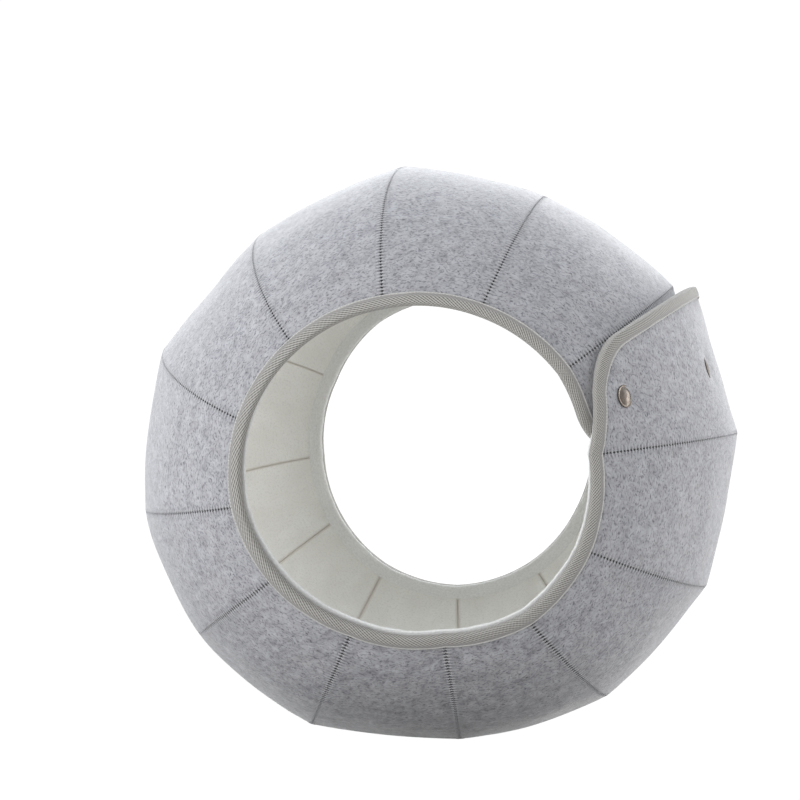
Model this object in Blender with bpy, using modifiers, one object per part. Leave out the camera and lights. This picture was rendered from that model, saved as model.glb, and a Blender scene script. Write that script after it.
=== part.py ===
"""Felt cat cave: a strip of thirteen felt panels, lined and bound, rolled into an open-ended barrel.

The last panel of the strip, the flap, laps over the first and is held to it by four snaps. The
tunnel runs along Y with its front mouth at -Y. The cave rests on the plane z = 0, under its axis.
"""

import math
from collections import namedtuple

import bmesh
import bpy
from mathutils import Matrix, Vector

# Driving dimensions, in metres and degrees.
HALF_LENGTH = 0.190  # from the middle of the tunnel to the felt edge of a mouth
BACK_TURN_DEG = -4.0  # how far the seams lean on from the middle to the back mouth
AXIS_HEIGHT = 0.2365  # less than the lowest panel's radius: it settles flat on the floor
MOUTH_SLOPE_DEG = 70.0  # how steeply the wall turns in at a mouth
HALF_STRIP = 0.236  # from the middle of the strip to its long edge, along the cloth

FELT = 0.0030
LINING = 0.0030
LINING_DEPTH = 0.0036  # from the felt's outer face to the lining's outer face
SEAM_INSET = 0.0011  # each panel's side stands this far back from the seam line
LINING_SET_BACK = 0.0030  # at the mouths the lining's edge stands this far inside the felt's

TAPE = 0.0012
TAPE_LEG = 0.0078  # how far the folded tape reaches over each face
TAPE_GAP = 0.0007  # between the tape and the felt's outer face
FOLD_GAP = 0.0010  # between the tape and the cut edges and the lining inside its fold

CORNER_RADIUS = 0.030  # the strip's four rounded corners
FLAP_TRIM = 0.023  # the flap's long edges run in by this much towards its free end

# Every line across the strip, from the hidden free end to the flap's free end: its angle about the
# tunnel axis at the front mouth and in the middle, its radius at the felt edge of the front mouth,
# in the middle and at the back mouth, how far it stands off the barrel, how far the cloth's face
# leans from the radius, and how round the panel that follows it is in the middle, from 0 for flat
# to 1 for a full arc.
Line = namedtuple("Line", "front_deg middle_deg front_radius radius back_radius lift lean_deg fullness")
LINES = (
    Line(14.0, 12.5, 0.1368, 0.2490, 0.1331, -0.0120, 10.0, 0.00),
    Line(41.0, 42.0, 0.1374, 0.2490, 0.1358, 0.0, 0.0, 0.60),
    Line(74.0, 73.0, 0.1346, 0.2425, 0.1402, 0.0, 0.0, 0.55),
    Line(106.0, 101.5, 0.1332, 0.2520, 0.1420, 0.0, 0.0, 0.50),
    Line(139.0, 132.5, 0.1356, 0.2455, 0.1408, 0.0, 0.0, 0.12),
    Line(168.5, 162.5, 0.1383, 0.2545, 0.1338, 0.0, 0.0, 0.45),
    Line(196.0, 195.5, 0.1388, 0.2565, 0.1326, 0.0, 0.0, 0.80),
    Line(222.0, 222.5, 0.1342, 0.2560, 0.1359, 0.0, 0.0, 0.70),
    Line(253.5, 250.0, 0.1274, 0.2540, 0.1399, 0.0, 0.0, 0.30),
    Line(285.5, 280.0, 0.1266, 0.2415, 0.1414, 0.0, 0.0, 0.65),
    Line(314.0, 312.0, 0.1370, 0.2490, 0.1380, 0.0, 0.0, 0.45),
    Line(342.5, 341.0, 0.1388, 0.2535, 0.1341, 0.0, 0.0, 0.25),
    Line(372.8, 370.8, 0.1368, 0.2565, 0.1330, 0.0, 0.0, 0.00),
    Line(400.7, 399.1, 0.1374, 0.2520, 0.1356, 0.0105, -18.0, 0.00),
)
PANELS = len(LINES) - 1

# Distances from a free end at which an end panel has a row of points, and its other fractions.
END_STEPS = (0.0, 0.004, 0.010, 0.019, CORNER_RADIUS)
SIDE_FRACTIONS = (0.25, 0.50, 0.75)
CROSS_STEPS = 14  # steps across the strip between the rows that lie a tape leg apart
END_LEGS = 6  # how many such rows an end panel has along each long edge

# The snaps: how far along the flap and across the strip each sits.
Snap = namedtuple("Snap", "name along across")
SNAPS = (
    Snap("front", 0.50, -0.8475),
    Snap("front_middle", 0.48, -0.31),
    Snap("back_middle", 0.48, 0.31),
    Snap("back", 0.50, 0.8475),
)
CAP_RADIUS = 0.0090
CAP_HEIGHT = 0.0026
CAP_GAP = 0.0004
STUD_RADIUS = 0.0062
STUD_HEIGHT = 0.0020
STUD_DEPTH = 0.0097  # from the flap's outer face to the foot of a stud

FELT_COLOUR = (0.50, 0.50, 0.53, 1.0)
LINING_COLOUR = (0.86, 0.83, 0.77, 1.0)
TAPE_COLOUR = (0.40, 0.38, 0.35, 1.0)
SNAP_COLOUR = (0.30, 0.24, 0.20, 1.0)


def clear_scene():
    for item in list(bpy.data.objects):
        bpy.data.objects.remove(item, do_unlink=True)


def make_material(name, colour, roughness, metallic=0.0):
    material = bpy.data.materials.new(name)
    material.use_nodes = True
    shader = material.node_tree.nodes["Principled BSDF"]
    shader.inputs["Base Color"].default_value = colour
    shader.inputs["Roughness"].default_value = roughness
    shader.inputs["Metallic"].default_value = metallic
    return material


def line_station(line, across, depth):
    """Radius, angle and y on a line across the strip, at a depth below the outer face.

    across runs from -1 at the front mouth to 1 at the back mouth. The radius falls off as its
    square, as the panels' width does, and y follows so that the cloth keeps its length.
    """
    front = math.radians(line.front_deg)
    middle = math.radians(line.middle_deg)
    if across < 0:
        angle = middle + (front - middle) * -across
        mouth = line.front_radius
    else:
        back = middle + math.radians(BACK_TURN_DEG)
        angle = middle + (back - middle) * across
        mouth = line.back_radius
    drop = line.radius - mouth
    full = math.radians(MOUTH_SLOPE_DEG)
    slope = math.asin(across * math.sin(full))
    full_reach = full + math.sin(full) * math.cos(full)
    outward = HALF_LENGTH * math.cos(slope) * math.sin(full) / full_reach
    endward = drop * across
    lean = math.radians(line.lean_deg) * (1 - across ** 2)
    scale = math.hypot(outward, endward)
    rise = (line.lift - depth * math.cos(lean)) * outward / scale
    radius = line.radius - drop * across ** 2 + rise
    angle -= math.atan2(depth * math.sin(lean) * outward / scale, radius)
    y = HALF_LENGTH * (slope + math.sin(slope) * math.cos(slope)) / full_reach
    y += (line.lift - depth) * endward / scale
    return radius, angle, y


def polar(radius, angle, y):
    return Vector((radius * math.cos(angle), y, radius * math.sin(angle)))


def strip_point(along, across, depth):
    """A point of the strip. along counts panels from the hidden free end, depth is below the felt."""
    index = min(int(along), PANELS - 1)
    share = along - index
    first = line_station(LINES[index], across, depth)
    second = line_station(LINES[index + 1], across, depth)
    chord = polar(*first).lerp(polar(*second), share)
    arc = polar(*(a + (b - a) * share for a, b in zip(first, second)))
    fullness = LINES[index].fullness
    point = chord.lerp(arc, fullness + (1 - fullness) * across ** 2)
    point.z = max(point.z + AXIS_HEIGHT, depth)
    return point


def panel_width(index, across):
    return (strip_point(index + 1, across, 0) - strip_point(index, across, 0)).length


def corner_cut(distance):
    """How much a rounded corner takes off the long edge at a distance from the free end."""
    return CORNER_RADIUS - math.sqrt(CORNER_RADIUS ** 2 - (CORNER_RADIUS - distance) ** 2)


def across_steps(edge, legs=1):
    """Positions across the strip from long edge to long edge, with rows a tape leg apart first."""
    leg = TAPE_LEG / HALF_STRIP
    side = [edge - leg * step for step in range(legs)]
    rest = edge - leg * legs
    inner = [rest * (2 * step / CROSS_STEPS - 1) for step in range(CROSS_STEPS + 1)]
    return [-across for across in side] + inner + side[::-1]


def end_column(index, distance):
    """Along and across positions of an end panel's points, a distance from its free end."""
    is_flap = index == PANELS - 1
    share = distance / panel_width(index, 1.0)
    trim = FLAP_TRIM * (1 - share) if is_flap else 0.0
    edge = 1 - (trim + corner_cut(distance)) / HALF_STRIP
    column = []
    for across in across_steps(edge, END_LEGS):
        share = distance / panel_width(index, across)
        column.append((index + 1 - share if is_flap else index + share, across))
    return column


def side_column(index, fraction):
    """Along and across positions of a panel's points at a fraction of its width."""
    column = []
    for across in across_steps(1.0, END_LEGS if index in (0, PANELS - 1) else 1):
        inset = SEAM_INSET / panel_width(index, across)
        column.append((index + min(max(fraction, inset), 1 - inset), across))
    return column


def blended_columns(index, near, far, shares):
    """Columns between the last end column and the seam column of an end panel."""
    columns = []
    for share in shares:
        pairs = zip(near, far)
        columns.append([(a[0] + (b[0] - a[0]) * share, a[1] + (b[1] - a[1]) * share) for a, b in pairs])
    return columns


def panel_columns(index):
    """The panel's grid: columns that follow each other along the strip."""
    if 0 < index < PANELS - 1:
        return [side_column(index, fraction) for fraction in (0.0,) + SIDE_FRACTIONS + (1.0,)]
    ends = [end_column(index, distance) for distance in END_STEPS]
    seam = side_column(index, 1.0 if index == 0 else 0.0)
    columns = ends + blended_columns(index, ends[-1], seam, (1 / 3, 2 / 3)) + [seam]
    return columns if index == 0 else columns[::-1]


def side_inset(along, across, amount):
    """A point on a long edge, drawn in from it."""
    return along, across - math.copysign(amount / HALF_STRIP, across)


def end_inset(index, edge_point, amount):
    """A point on a free end, drawn in from it."""
    along, across = edge_point
    shift = amount / panel_width(index, across)
    return along + (shift if index == 0 else -shift), across


def corner_shares(distance):
    """How far a rounded corner faces the free end and the long edge, a distance from the end."""
    to_end = (CORNER_RADIUS - distance) / CORNER_RADIUS
    to_side = (CORNER_RADIUS - corner_cut(distance)) / CORNER_RADIUS
    return to_end, to_side


def lining_columns(index):
    """The panel's grid with its edges at the mouths drawn in from the felt's."""
    columns = panel_columns(index)
    insets = [LINING_SET_BACK] * len(columns)
    if index in (0, PANELS - 1):
        corners = [LINING_SET_BACK * corner_shares(distance)[1] for distance in END_STEPS]
        insets = corners + insets[len(corners):]
    for inset, column in zip(insets, columns[::-1] if index == PANELS - 1 else columns):
        column[0] = side_inset(*column[0], inset)
        column[-1] = side_inset(*column[-1], inset)
    return columns


def add_object(name, mesh, material, collection):
    item = bpy.data.objects.new(name, mesh)
    item.data.materials.append(material)
    collection.objects.link(item)
    return item


def make_sheet(name, columns, depth, thickness, material, collection):
    """One panel of cloth: an open sheet at a depth, thickened inwards."""
    shape = bmesh.new()
    rows = [
        [shape.verts.new(strip_point(along, across, depth)) for along, across in column]
        for column in columns
    ]
    for left, right in zip(rows, rows[1:]):
        for step in range(len(left) - 1):
            shape.faces.new((left[step], left[step + 1], right[step + 1], right[step]))
    mesh = bpy.data.meshes.new(name)
    shape.to_mesh(mesh)
    shape.free()
    sheet = add_object(name, mesh, material, collection)
    solidify = sheet.modifiers.new("thickness", "SOLIDIFY")
    solidify.thickness = thickness
    solidify.offset = -1.0
    solidify.use_even_offset = True
    return sheet


def end_stations(index):
    """The stations round one free end, from the front mouth to the back.

    A station is an edge point, the tip of the tape leg opposite it, and the lining's set-back.
    """
    columns = {distance: end_column(index, distance) for distance in END_STEPS}

    def corner(distance, row):
        point = columns[distance][row]
        to_end, to_side = corner_shares(distance)
        along, across = end_inset(index, point, TAPE_LEG * to_end)
        return point, side_inset(along, across, TAPE_LEG * to_side), LINING_SET_BACK * to_side ** 3

    front = [corner(distance, 0) for distance in reversed(END_STEPS)]
    end = [(point, end_inset(index, point, TAPE_LEG), 0.0) for point in columns[0.0][1:-1]]
    back = [corner(distance, -1) for distance in END_STEPS]
    return front + end + back


def long_edge_stations(side):
    """The stations along one long edge of the strip, from the hidden end panel to the flap."""
    row = 0 if side < 0 else -1
    points = [column[row] for column in panel_columns(0)[len(END_STEPS):-1]]
    for index in range(1, PANELS - 1):
        points += [(index + fraction, float(side)) for fraction in (0.0,) + SIDE_FRACTIONS]
    points.append((float(PANELS - 1), float(side)))
    points += [column[row] for column in panel_columns(PANELS - 1)[1:-len(END_STEPS)]]
    return [(point, side_inset(*point, TAPE_LEG), LINING_SET_BACK) for point in points]


def tape_section(edge, tip, run, set_back):
    """The folded tape's outline where it wraps an edge point and its leg tip."""
    inner = LINING_DEPTH + LINING + FOLD_GAP
    outward = (edge - tip).normalized()
    normal = run.cross(outward).normalized()
    fold = (
        (0.0, -TAPE_GAP - TAPE),
        (TAPE, -TAPE_GAP - TAPE / 3),
        (FOLD_GAP + TAPE, TAPE),
        (FOLD_GAP + TAPE, FELT),
        (FOLD_GAP + TAPE - set_back, inner),
        (-set_back, inner + TAPE),
    )
    slot = ((FOLD_GAP - set_back, inner), (FOLD_GAP, FELT), (FOLD_GAP, -TAPE_GAP))
    points = [tip + normal * (TAPE_GAP + TAPE)]
    points += [edge + outward * reach - normal * depth for reach, depth in fold]
    points += [tip - normal * (inner + TAPE), tip - normal * inner]
    points += [edge + outward * reach - normal * depth for reach, depth in slot]
    points.append(tip + normal * TAPE_GAP)
    return points


def make_tape(material, collection):
    """The binding: one folded tape right round the edge of the strip."""
    stations = long_edge_stations(-1)
    stations += end_stations(PANELS - 1)
    stations += long_edge_stations(1)[::-1]
    stations += end_stations(0)[::-1]
    edges = [strip_point(*edge, 0) for edge, tip, inset in stations]
    shape = bmesh.new()
    rings = []
    for step, (edge, tip, inset) in enumerate(stations):
        run = edges[(step + 1) % len(edges)] - edges[step - 1]
        section = tape_section(edges[step], strip_point(*tip, 0), run, inset)
        rings.append([shape.verts.new(point) for point in section])
    for ring, following in zip(rings, rings[1:] + rings[:1]):
        for step, vertex in enumerate(ring):
            after = (step + 1) % len(ring)
            shape.faces.new((vertex, following[step], following[after], ring[after]))
    bmesh.ops.recalc_face_normals(shape, faces=shape.faces)
    mesh = bpy.data.meshes.new("binding_tape")
    shape.to_mesh(mesh)
    shape.free()
    return add_object("binding_tape", mesh, material, collection)


def surface_frame(along, across, depth):
    """A matrix at a point of the strip with its Z axis along the outward normal."""
    reach = 0.02
    origin = strip_point(along, across, depth)
    side = strip_point(along + reach, across, depth) - strip_point(along - reach, across, depth)
    back = strip_point(along, across + reach, depth) - strip_point(along, across - reach, depth)
    normal = back.cross(side).normalized()
    back.normalize()
    side = back.cross(normal)
    frame = Matrix((side, back, normal)).transposed().to_4x4()
    frame.translation = origin
    return frame


def make_turned(name, profile, frame, material, collection):
    """A turned piece from radius and height pairs that run up the outside from axis to axis."""
    shape = bmesh.new()
    points = [shape.verts.new((radius, 0.0, height)) for radius, height in reversed(profile)]
    for start, end in zip(points, points[1:]):
        shape.edges.new((start, end))
    mesh = bpy.data.meshes.new(name)
    shape.to_mesh(mesh)
    shape.free()
    piece = add_object(name, mesh, material, collection)
    screw = piece.modifiers.new("turn", "SCREW")
    screw.steps = 20
    screw.render_steps = 20
    screw.use_merge_vertices = True
    screw.merge_threshold = 0.00001
    piece.matrix_world = frame
    return piece


def cap_profile():
    """A domed snap cap with a rolled rim and a flat underside."""
    rim = CAP_RADIUS
    return (
        (0.0, 0.0),
        (rim * 0.90, 0.0),
        (rim, CAP_HEIGHT * 0.25),
        (rim, CAP_HEIGHT * 0.55),
        (rim * 0.93, CAP_HEIGHT * 0.75),
        (rim * 0.84, CAP_HEIGHT * 0.62),
        (rim * 0.55, CAP_HEIGHT * 0.90),
        (0.0, CAP_HEIGHT),
    )


def stud_profile():
    """The closed socket and stud between the two layers."""
    return (
        (0.0, 0.0),
        (STUD_RADIUS, 0.0),
        (STUD_RADIUS, STUD_HEIGHT * 0.3),
        (STUD_RADIUS * 0.75, STUD_HEIGHT * 0.4),
        (STUD_RADIUS * 0.75, STUD_HEIGHT * 0.6),
        (STUD_RADIUS, STUD_HEIGHT * 0.7),
        (STUD_RADIUS, STUD_HEIGHT),
        (0.0, STUD_HEIGHT),
    )


def make_snap(snap, material, collection):
    """A cap on the flap's felt and the closed snap under its lining."""
    along = PANELS - 1 + snap.along
    cap_frame = surface_frame(along, snap.across, -CAP_GAP)
    make_turned("snap_cap_" + snap.name, cap_profile(), cap_frame, material, collection)
    stud_frame = surface_frame(along, snap.across, STUD_DEPTH)
    make_turned("snap_stud_" + snap.name, stud_profile(), stud_frame, material, collection)


def panel_name(kind, index):
    end_names = {0: "_under", PANELS - 1: "_flap"}
    return f"{kind}_{index + 1:02d}{end_names.get(index, '')}"


def build():
    clear_scene()
    collection = bpy.data.collections.new("felt_cat_cave")
    bpy.context.scene.collection.children.link(collection)
    felt = make_material("felt", FELT_COLOUR, 0.95)
    plush = make_material("lining", LINING_COLOUR, 0.97)
    tape = make_material("binding", TAPE_COLOUR, 0.85)
    metal = make_material("snap", SNAP_COLOUR, 0.35, metallic=1.0)
    for index in range(PANELS):
        make_sheet(panel_name("felt", index), panel_columns(index), 0.0, FELT, felt, collection)
        lining_name = panel_name("lining", index)
        make_sheet(lining_name, lining_columns(index), LINING_DEPTH, LINING, plush, collection)
    make_tape(tape, collection)
    for snap in SNAPS:
        make_snap(snap, metal, collection)


build()
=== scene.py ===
"""Looks of the felt cat cave: mottled felt, plush lining, twill binding, sewing and snaps."""

import math
from collections import namedtuple

import bpy
import numpy as np
from mathutils import Matrix, Vector


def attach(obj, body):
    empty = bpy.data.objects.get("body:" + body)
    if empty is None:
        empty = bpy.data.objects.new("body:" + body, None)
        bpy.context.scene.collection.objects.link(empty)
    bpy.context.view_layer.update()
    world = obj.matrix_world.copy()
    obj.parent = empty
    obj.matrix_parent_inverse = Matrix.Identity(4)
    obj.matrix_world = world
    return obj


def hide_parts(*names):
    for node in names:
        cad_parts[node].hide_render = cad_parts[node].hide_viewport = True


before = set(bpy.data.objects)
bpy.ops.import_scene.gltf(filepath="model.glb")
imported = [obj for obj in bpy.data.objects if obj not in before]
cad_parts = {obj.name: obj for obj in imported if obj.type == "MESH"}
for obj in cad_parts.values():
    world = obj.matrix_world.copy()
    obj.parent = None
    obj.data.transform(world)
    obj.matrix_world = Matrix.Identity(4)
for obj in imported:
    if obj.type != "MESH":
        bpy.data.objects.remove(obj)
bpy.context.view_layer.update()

RNG = np.random.default_rng(7)

# The strip's shape, in metres and degrees, as the solids have it.
HALF_LENGTH = 0.190
BACK_TURN_DEG = -4.0
AXIS_HEIGHT = 0.2365
MOUTH_SLOPE_DEG = 70.0
HALF_STRIP = 0.236
FELT = 0.0030
LINING = 0.0030
LINING_DEPTH = 0.0036
LINING_SET_BACK = 0.0030
TAPE = 0.0012
TAPE_LEG = 0.0078
TAPE_GAP = 0.0007
FOLD_GAP = 0.0010
CORNER_RADIUS = 0.030
FLAP_TRIM = 0.023

# The lines between the panels: angles and radii at the mouths and in the middle, how far the
# strip's two ends lift and lean to lap over each other, and how round each panel is across.
Line = namedtuple("Line", "front_deg middle_deg front_radius radius back_radius lift lean_deg "
                          "fullness")
LINES = np.array((
    Line(14.0, 12.5, 0.1368, 0.2490, 0.1331, -0.0120, 10.0, 0.00),
    Line(41.0, 42.0, 0.1374, 0.2490, 0.1358, 0.0, 0.0, 0.60),
    Line(74.0, 73.0, 0.1346, 0.2425, 0.1402, 0.0, 0.0, 0.55),
    Line(106.0, 101.5, 0.1332, 0.2520, 0.1420, 0.0, 0.0, 0.50),
    Line(139.0, 132.5, 0.1356, 0.2455, 0.1408, 0.0, 0.0, 0.12),
    Line(168.5, 162.5, 0.1383, 0.2545, 0.1338, 0.0, 0.0, 0.45),
    Line(196.0, 195.5, 0.1388, 0.2565, 0.1326, 0.0, 0.0, 0.80),
    Line(222.0, 222.5, 0.1342, 0.2560, 0.1359, 0.0, 0.0, 0.70),
    Line(253.5, 250.0, 0.1274, 0.2540, 0.1399, 0.0, 0.0, 0.30),
    Line(285.5, 280.0, 0.1266, 0.2415, 0.1414, 0.0, 0.0, 0.65),
    Line(314.0, 312.0, 0.1370, 0.2490, 0.1380, 0.0, 0.0, 0.45),
    Line(342.5, 341.0, 0.1388, 0.2535, 0.1341, 0.0, 0.0, 0.25),
    Line(372.8, 370.8, 0.1368, 0.2565, 0.1330, 0.0, 0.0, 0.00),
    Line(400.7, 399.1, 0.1374, 0.2520, 0.1356, 0.0105, -18.0, 0.00),
))
PANELS = len(LINES) - 1
FLAP = PANELS - 1
PANEL_END = 0.99999  # the share of a panel that still belongs to it, not to the next

# The snaps' places on the strip. Each cap is pulled round, away from its mouth, by tilt_deg.
Snap = namedtuple("Snap", "name along across tilt_deg")
SNAPS = (
    Snap("front", 0.50, -0.8475, 18.0),
    Snap("front_middle", 0.48, -0.31, 12.0),
    Snap("back_middle", 0.48, 0.31, 12.0),
    Snap("back", 0.50, 0.8475, 18.0),
)
DIMPLE_DEPTH = 0.0016
DIMPLE_RADIUS = 0.013
CAP_SINK = 0.0001
CAP_SIDES = 48
CAP_PROFILE = (  # radius and height, from the middle of the dome to the middle of the underside
    (0.0000, 0.00235), (0.0022, 0.00230), (0.0045, 0.00205), (0.0062, 0.00165),
    (0.0072, 0.00130), (0.0077, 0.00125), (0.0082, 0.00150), (0.0087, 0.00150),
    (0.0090, 0.00110), (0.0088, 0.00050), (0.0080, 0.00010), (0.0000, 0.00010),
)

# The cloth: how deep each layer lies, its mesh, half the gap between two butted edges, how far it
# swells beyond its seams, the height of its waves, and how far its edge stops short at the mouths.
Cloth = namedtuple("Cloth", "kind top thickness columns rows gap swell wave set_back")
CLOTHS = (
    Cloth("felt", 0.0, FELT, 40, 120, 0.00008, 0.0003, 0.0005, 0.0),
    Cloth("lining", LINING_DEPTH, LINING, 28, 90, 0.00004, 0.0, 0.0, LINING_SET_BACK),
)
GRID_NEAR = (0.0, 0.0004, 0.0010, 0.0020, 0.0036)  # the first columns' distances from a seam
ROW_CROWDING = 1.15  # how much closer together the rows lie at the mouths
WAVE_LENGTH = 0.09
WAVE_FADE = 0.02  # distance from a panel's sides over which its waves fade out
SWELL_FADE = 0.006
EDGE_ROUND = 0.0008
INNER_ROUND = 0.8
SETTLED_HEIGHT = 0.012  # below this the floor presses the felt flat
SETTLED_SHARE = 0.1
UV_SHIFT = (0.37, 0.11)  # between one panel's pattern and the next
END_WIDTH_SHARE = 0.985  # what the rounded corners leave of an end panel's width

# Sewing. The seams close up in the middle of their length: the edges' rounding and the thread
# shrink to CLOSED_SHARE within CLOSED_TO of the strip's middle, and are whole from ROUND_FULL and
# THREAD_FULL outwards.
CLOSED_TO = 0.30
CLOSED_SHARE = 0.45
ROUND_FULL = 0.70
THREAD_FULL = 0.65
THREAD_TIP = 0.35  # the radius of a thread's ends, as a share
STITCH_PITCH = 0.0030
THREAD = 0.00042
TAPE_THREAD = 0.00036
TAPE_STITCH = 0.0026
TAPE_STITCH_INSET = 0.0006
TAPE_STITCH_HEIGHTS = (-0.6, 0.2, 0.3, 0.2, -0.6)  # in thread radii
BAR_REACH = (-0.0036, 0.0046)  # how far each thread bar reaches to either side of a seam
BAR_VARIATION = (0.92, 1.08)
BAR_SLANT = 0.20  # of the stitch pitch
BAR_HEIGHTS = (-1.4, -0.20, 0.0, -0.10, -0.70, -0.10, 0.0, -0.20, -1.4)  # in thread radii
BAR_CLEARANCE = 0.0012  # between the tape and the first bar
HOLE_LENGTH = 0.00070
HOLE_WIDTH = 0.00105
HOLE_WIDTHS = (1.0, 1.0, 1.1, 1.3, 1.0, 1.0, 1.2, 1.5, 1.8, 1.8, 1.7, 1.1, 1.0, 1.0)  # by line

# The felt's flecks: their direction in degrees, noise rates along and across it, and threshold.
FLECKS = (
    (22, 300, 640, 0.58),
    (-41, 320, 680, 0.58),
    (84, 290, 620, 0.59),
    (58, 340, 700, 0.60),
)

# The twill: ribs and dots for each metre along the tape and across it, and how densely the ribs
# lie by place along the strip.
TWILL_RIBS = (320.0, 520.0)
TWILL_DOTS = (330.0, -260.0)
TWILL_PLACES = (0.0, 4.0, 5.5, 8.0, 9.5, 12.0, 13.0)
TWILL_DENSITY = (1.35, 0.80, 0.60, 0.85, 1.05, 1.25, 1.40)
TAPE_PUFF = 0.0004
GROOVE_DEPTH = 0.00025  # the groove that the stitches pull into the tape
GROOVE_INSET = 0.0014
GROOVE_WIDTH = 0.0005
STATION_STEP = 0.0015  # between the stations round the strip's edge

# How far the lining's rolled edge reaches past the tape: by place along the strip at the front
# mouth, all round the back mouth, and where the roll hides, at the free ends and near the lap.
RIM_PLACES = (0.0, 2.0, 4.0, 4.8, 5.5, 7.0, 8.4, 9.2, 10.0, 11.0, 12.0, 13.0)
RIM_FRONT = (-0.0012, -0.0016, -0.0010, 0.0012, 0.0026, 0.0050, 0.0042, 0.0026, 0.0040, 0.0030,
             0.0018, 0.0)
RIM_BACK = 0.0
RIM_HIDDEN = -0.0020
RIM_END = 0.93
RIM_LAP = FLAP + 0.40
RIM_SMOOTHING = 41  # stations, an odd number
RIM_LUMP = 0.00022
RIM_LUMP_LENGTH = 0.014
RIM_PLUMPNESS = 0.10
RIM_PLUMP_LENGTH = 0.05
RIM_DEPTH = 0.0140
RIM_PROFILE = (  # outward from the tape's nose, and height over the lining's face
    (-0.0140, 0.0), (-0.0120, -0.0009), (-0.0100, -0.0020), (-0.0078, -0.0031),
    (-0.0052, -0.0039), (-0.0026, -0.0041), (-0.0010, -0.0038), (-0.0003, -0.0031),
    (0.0, -0.0024), (-0.0003, -0.0017), (-0.0012, -0.0012), (-0.0040, -0.0016),
    (-0.0078, -0.0018), (-0.0098, -0.0004), (-0.0140, 0.0012),
)

# The stage, the sky and the lamps. The sky adds up a ramp for each axis, from nothing at its middle
# to the given strength at the given end.
FLOOR_FLAT = 3.0
FLOOR_CURVE = 2.0
FLOOR_SIDES = 96
FLOOR_GLOW = 1.0
CARD_GLOW = 0.66
CARD_NEAR = 0.13
CARD_RAMP = (0.16, 0.50)
CARD_RADIUS = 0.75
CARD_CENTRE = (0.0, -0.20, 0.0005)
CARD_SIDES = 48
SKY_COLOR = (0.95, 0.98, 1.02, 1)
SKY = (("X", -1.0, 1.50), ("X", 1.0, 1.1), ("Y", -1.0, 0.4), ("Y", 1.0, 2.9), ("Z", 1.0, 0.20))
Lamp = namedtuple("Lamp", "name place size power color")
LAMPS = (
    Lamp("left_light", (-1.8, -0.8, 0.55), 1.2, 5.0, (0.94, 0.97, 1.0)),
    Lamp("low_left_light", (-1.5, -0.9, 0.28), 0.5, 8.5, (0.97, 0.98, 1.0)),
    Lamp("right_light", (1.8, 0.9, 0.50), 1.0, 13, (1.0, 0.97, 0.95)),
    Lamp("back_light", (0.0, 1.4, 1.7), 1.6, 13, (0.94, 0.97, 1.0)),
)
LAMP_AIM = (0.0, 0.0, 0.25)

# The photo's camera. The focal length is in millimetres on a 36 mm sensor.
SENSOR = 36
FOCAL = 1900 / 800 * SENSOR
CAMERA_AZ_DEG = 6.3
CAMERA_EL_DEG = 3.3
CAMERA_ROLL_DEG = 5.5
CAMERA_DISTANCE = 1.65
CAMERA_AIM = (-0.038, 0.0, AXIS_HEIGHT + 0.046)


# ---------------------------------------------------------------- the strip's surface

def line_station(index, across, depth):
    """Radius, angle and y on the lines of the given indices, as arrays. across is -1 at the front
    mouth and 1 at the back mouth."""
    line = Line(*np.moveaxis(LINES[index], -1, 0))
    front = np.radians(line.front_deg)
    middle = np.radians(line.middle_deg)
    back = middle + math.radians(BACK_TURN_DEG)
    to_front = across < 0
    angle = middle + np.where(to_front, (front - middle) * -across, (back - middle) * across)
    mouth = np.where(to_front, line.front_radius, line.back_radius)
    drop = line.radius - mouth
    full = math.radians(MOUTH_SLOPE_DEG)
    slope = np.arcsin(np.clip(across, -1.02, 1.02) * math.sin(full))
    full_reach = full + math.sin(full) * math.cos(full)
    outward = HALF_LENGTH * np.cos(slope) * math.sin(full) / full_reach
    endward = drop * across
    scale = np.hypot(outward, endward)
    lean = np.radians(line.lean_deg) * (1 - across ** 2)
    radius = line.radius - drop * across ** 2 + (line.lift - depth * np.cos(lean)) * outward / scale
    angle = angle - np.arctan2(depth * np.sin(lean) * outward / scale, radius)
    y = HALF_LENGTH * (slope + np.sin(slope) * np.cos(slope)) / full_reach
    y = y + (line.lift - depth) * endward / scale
    return radius, angle, y


def polar(radius, angle, y):
    """Points round the tunnel's axis."""
    return np.stack((radius * np.cos(angle), y, radius * np.sin(angle)), axis=-1)


def as_arrays(*values):
    """The values as arrays of one shape."""
    return np.broadcast_arrays(*(np.asarray(value, float) for value in values))


def strip(along, across, depth=0.0):
    """Points of the strip: along counts panels from the hidden end, depth is below the felt."""
    along, across, depth = as_arrays(along, across, depth)
    index = np.clip(np.floor(along).astype(int), 0, FLAP)
    share = (along - index)[..., None]
    first = line_station(index, across, depth)
    second = line_station(index + 1, across, depth)
    chord = polar(*first) * (1 - share) + polar(*second) * share
    share = share[..., 0]
    arc = polar(*(a + (b - a) * share for a, b in zip(first, second)))
    fullness = LINES[index, -1]
    roundness = (fullness + (1 - fullness) * across ** 2)[..., None]
    point = chord + (arc - chord) * roundness
    point[..., 2] = np.maximum(point[..., 2] + AXIS_HEIGHT, depth)
    return point


def unit(vectors):
    """The vectors at unit length."""
    return vectors / np.maximum(np.linalg.norm(vectors, axis=-1, keepdims=True), 1e-12)


def strip_normal(along, across, depth=0.0):
    """Outward normals, taken inside the panel that each point belongs to."""
    along, across, depth = as_arrays(along, across, depth)
    index = np.clip(np.floor(along), 0, FLAP)
    low = np.maximum(along - 0.02, index)
    high = np.minimum(along + 0.02, index + 0.9999)
    side = strip(high, across, depth) - strip(low, across, depth)
    far, near = np.minimum(across + 0.01, 1), np.maximum(across - 0.01, -1)
    back = strip(along, far, depth) - strip(along, near, depth)
    return unit(np.cross(back, side))


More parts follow.
